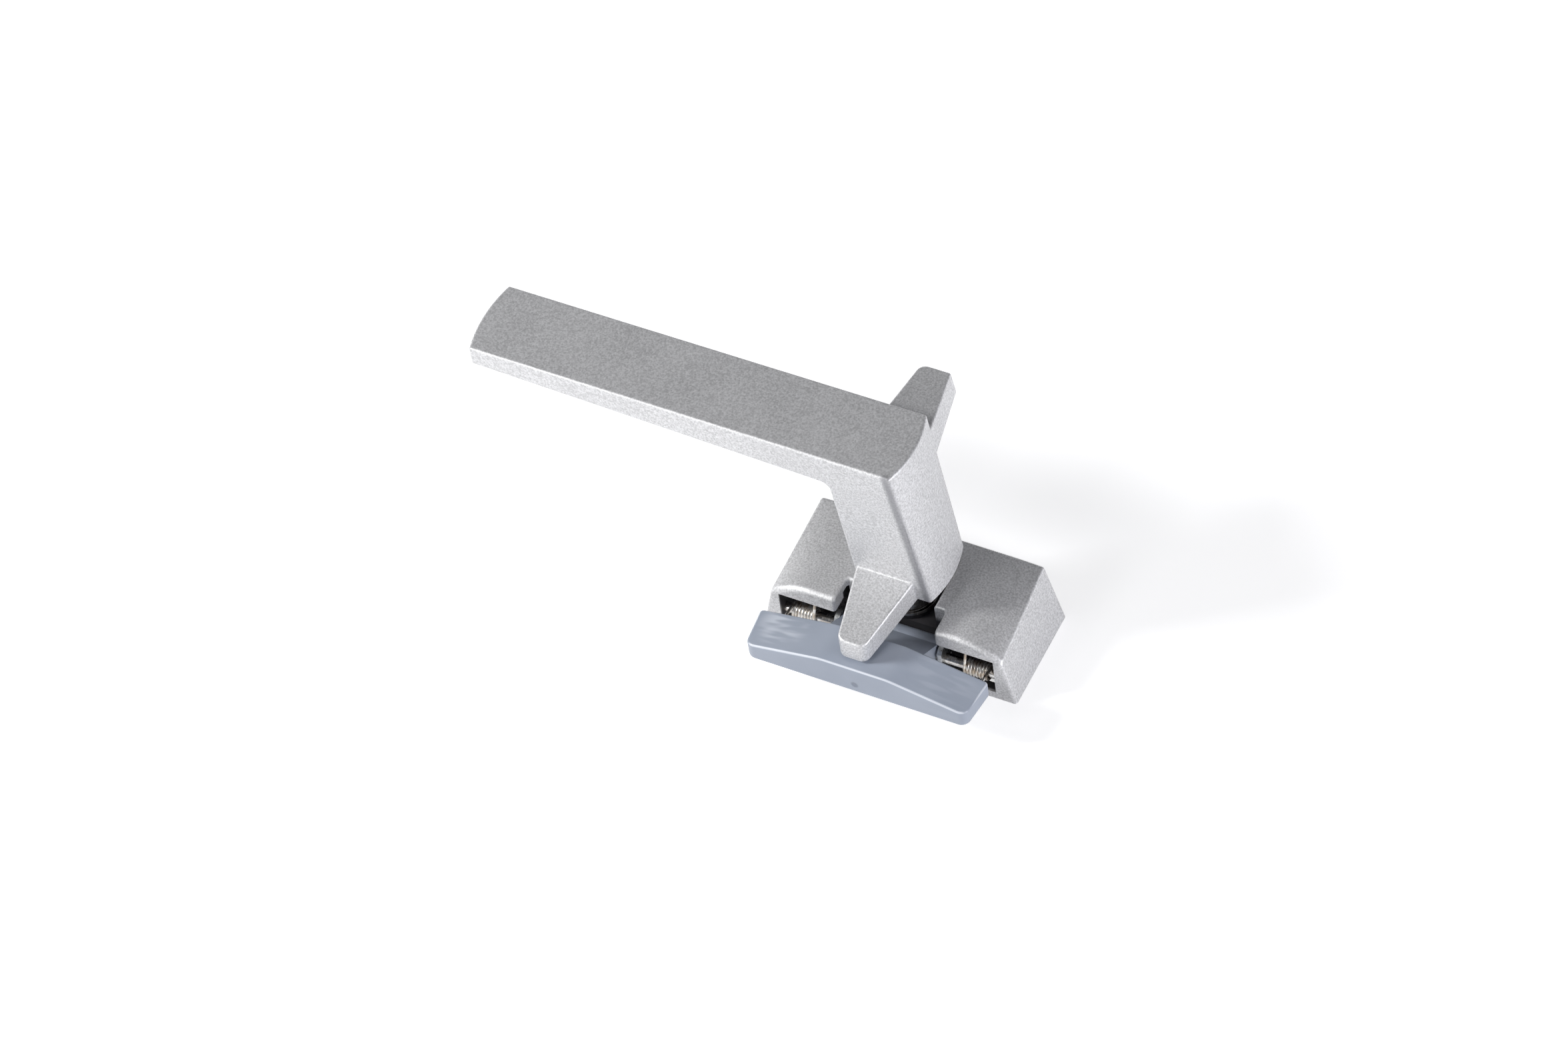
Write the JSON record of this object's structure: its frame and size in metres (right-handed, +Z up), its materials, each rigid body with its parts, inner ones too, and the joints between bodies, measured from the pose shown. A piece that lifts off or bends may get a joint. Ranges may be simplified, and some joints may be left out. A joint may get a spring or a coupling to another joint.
{
  "type": "window fastener",
  "caption": "Casement window fastener: a cast lever on a vertical spindle turns a spur over a sprung nylon clamp pad hinged in the front of its base.",
  "frame": {"origin": "middle of the mounting face, on the axis of the lever's spindle", "axes": "+Z up from the mounting face, +X along the base away from the lever's grip, +Y to the back, away from the clamp pad"},
  "size_m": [0.1379, 0.0602, 0.0674],
  "materials": {
    "silver_coat": "metallic silver powder coat, fine flake, satin",
    "grey_nylon": "moulded blue-grey nylon, semi-gloss, lightly rubbed",
    "bright_steel": "turned bright steel",
    "plated_sheet": "zinc-plated pressed sheet",
    "spring_wire": "drawn spring wire with a brownish film",
    "black_steel": "oil-blacked steel",
    "black_nylon": "moulded black nylon"
  },
  "bodies": {
    "base": {"housing": "silver_coat", "base_plate": "plated_sheet", "hinge_pin": "bright_steel", "torsion_spring_left": "spring_wire", "torsion_spring_right": "spring_wire", "spindle_bush": "black_nylon", "thrust_washer": "bright_steel", "spring_washer": "bright_steel", "plate_screw_back_left": "bright_steel", "plate_screw_front_left": "bright_steel", "plate_screw_back_right": "bright_steel", "plate_screw_front_right": "bright_steel"},
    "lever": {"lever_handle": "silver_coat", "spindle": "bright_steel", "spindle_washer": "bright_steel", "spindle_nut": "bright_steel", "grub_screw": "black_steel"},
    "pad": {"clamp_pad": "grey_nylon"}
  },
  "joints": [
    {"name": "handle_turn", "type": "hinge", "parent": "base", "child": "lever", "pos_m": [0, 0, 0.02], "axis": [0, 0, 1], "range_deg": [-180, 180]},
    {"name": "pad_press", "type": "hinge", "parent": "base", "child": "pad", "pos_m": [0, -0.0112, 0.0055], "axis": [1, 0, 0], "range_deg": [0, 24], "stiffness_Nm_per_rad": 0.03, "springref_deg": -25.21, "deforming": ["torsion_spring_left", "torsion_spring_right"]}
  ]
}
